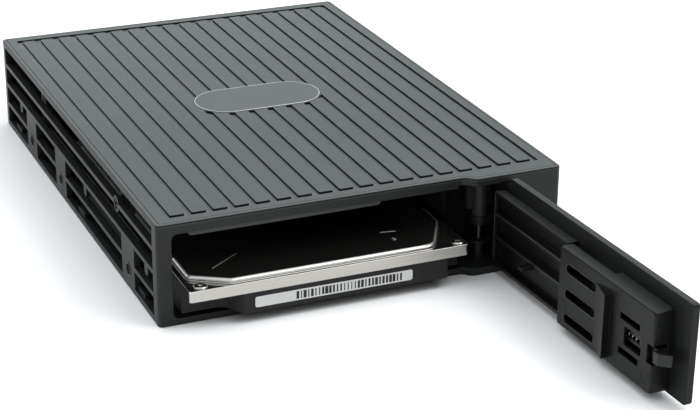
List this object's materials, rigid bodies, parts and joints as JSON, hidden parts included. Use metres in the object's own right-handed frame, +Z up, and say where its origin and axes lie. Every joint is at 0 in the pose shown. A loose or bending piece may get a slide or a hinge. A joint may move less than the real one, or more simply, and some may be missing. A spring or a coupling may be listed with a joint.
{
  "type": "trayless bay rack for a 2.5 inch drive, with swing door",
  "caption": "Black moulded rack for a 3.5 inch bay, ribbed top, lattice sides, door swung open, with a 2.5 inch hard drive standing out of the front",
  "frame": {"origin": "middle of the flat base of the rack's shell", "axes": "X to the right as seen from the front, Y to the back, Z up; the door opens to -Y"},
  "size_m": [0.1016, 0.222, 0.0256],
  "materials": {
    "shell_plastic": "fine moulded texture, black",
    "cover_plastic": "fine moulded texture, black",
    "door_plastic": "smooth moulded, dark gray",
    "socket_plastic": "smooth moulded, black",
    "badge_metal": "satin with a bright cut edge",
    "screw_steel": "bright plated",
    "pin_steel": "drawn wire",
    "lid_steel": "bright rolled sheet",
    "casting": "die cast, coated",
    "board_laminate": "solder mask",
    "label_film": "white film"
  },
  "bodies": {
    "rack": {"chassis": "shell_plastic", "top_cover": "cover_plastic", "badge_plate": "badge_metal", "cover_screws": "screw_steel", "hinge_pin": "pin_steel", "backplane_board": "board_laminate", "board_screws": "screw_steel", "drive_socket": "socket_plastic", "data_port": "socket_plastic", "power_port": "socket_plastic"},
    "door": {"door_panel": "shell_plastic", "door_inner_cover": "door_plastic", "latch_spring": "pin_steel"},
    "latch": {"latch_slider": "door_plastic", "latch_button": "shell_plastic"},
    "carriage": {"drive_base": "casting", "drive_top_cover": "lid_steel", "drive_cover_screws": "screw_steel", "drive_board": "board_laminate", "drive_connector": "socket_plastic", "drive_label": "label_film"}
  },
  "joints": [
    {"name": "door_hinge", "type": "hinge", "parent": "rack", "child": "door", "pos_m": [0.03191, -0.0681, 0.0127], "axis": [0, 0, 1], "range_deg": [-92.3, 0]},
    {"name": "latch_slide", "type": "slide", "parent": "door", "child": "latch", "axis": [-0.0401, 0.9992, 0], "range_m": [0, 0.0018], "stiffness_N_per_m": 200, "deforming": ["latch_spring"]},
    {"name": "drive_slide", "type": "slide", "parent": "rack", "child": "carriage", "axis": [0, 1, 0], "range_m": [0, 0.0125]}
  ],
  "couplings": [
    {"joint": "drive_slide", "follows": "door_hinge", "m_per_rad": -0.0077595}
  ]
}
